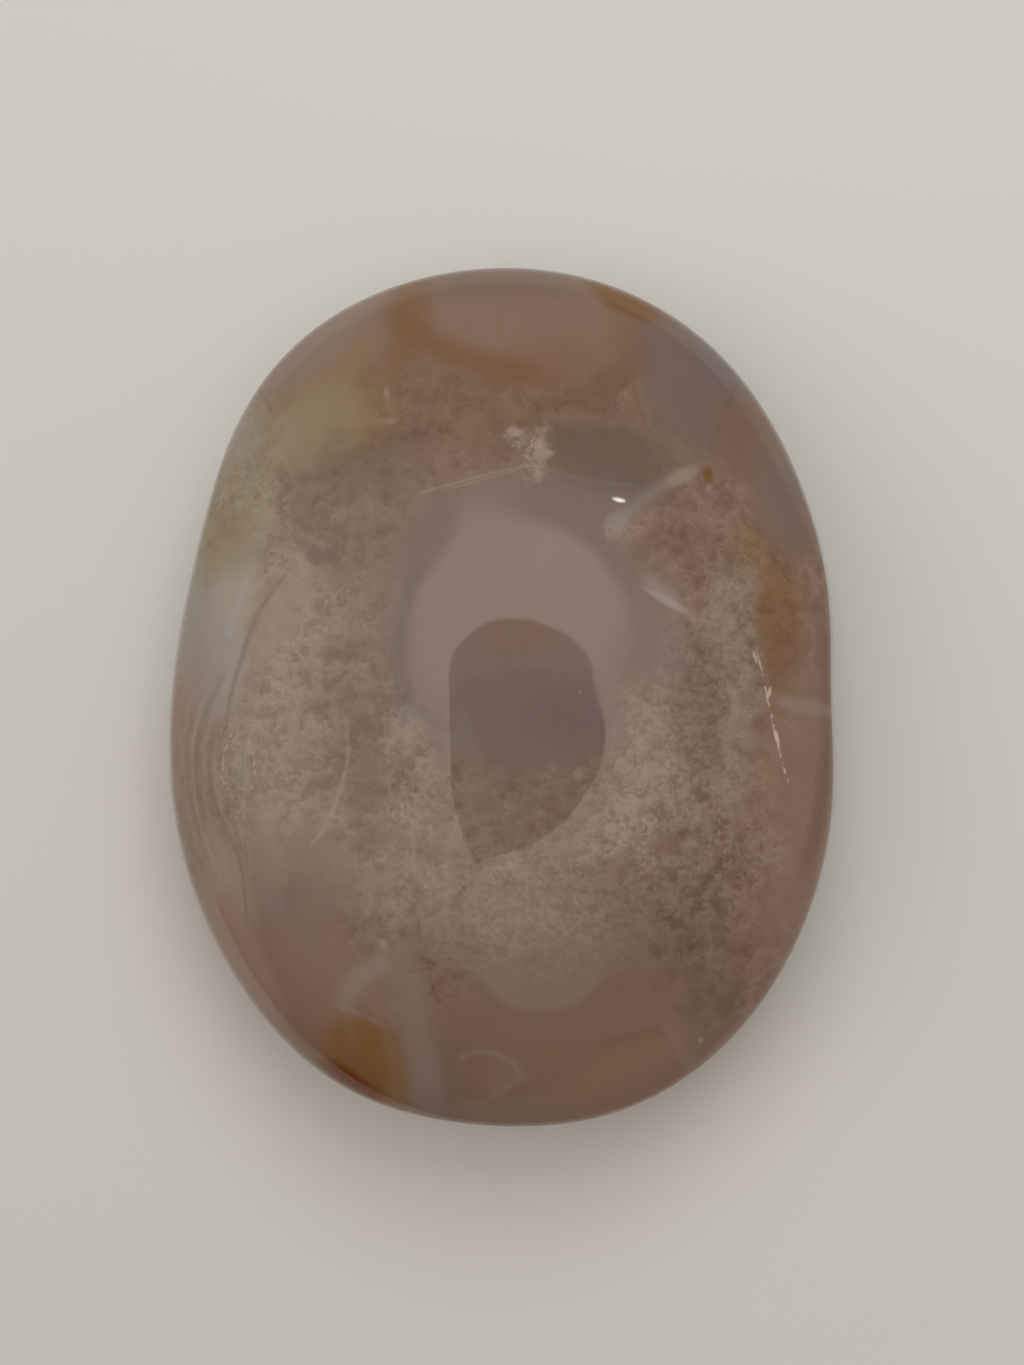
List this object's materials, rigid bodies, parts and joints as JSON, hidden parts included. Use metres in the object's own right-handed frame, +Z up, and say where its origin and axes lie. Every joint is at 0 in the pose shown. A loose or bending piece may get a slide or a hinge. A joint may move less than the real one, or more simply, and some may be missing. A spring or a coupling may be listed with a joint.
{
  "type": "palm stone",
  "caption": "Polished oval agate palm stone with domed faces, a ground side wall along one edge and a small flat underneath to rest on.",
  "frame": {"origin": "middle of the stone's box at the level of the flat it rests on", "axes": "+Z up out of the domed top face, +Y along the long side towards the end with the oval lobe, +X towards the long edge with the ground side wall"},
  "size_m": [0.0546, 0.07, 0.022],
  "materials": {
    "agate": "glossy polish, milky translucent grey-lavender and pinkish brown chalcedony round coarse mottled quartz, with orange-brown iron stains"
  },
  "bodies": {
    "root": {"palm_stone": "agate"}
  },
  "joints": []
}
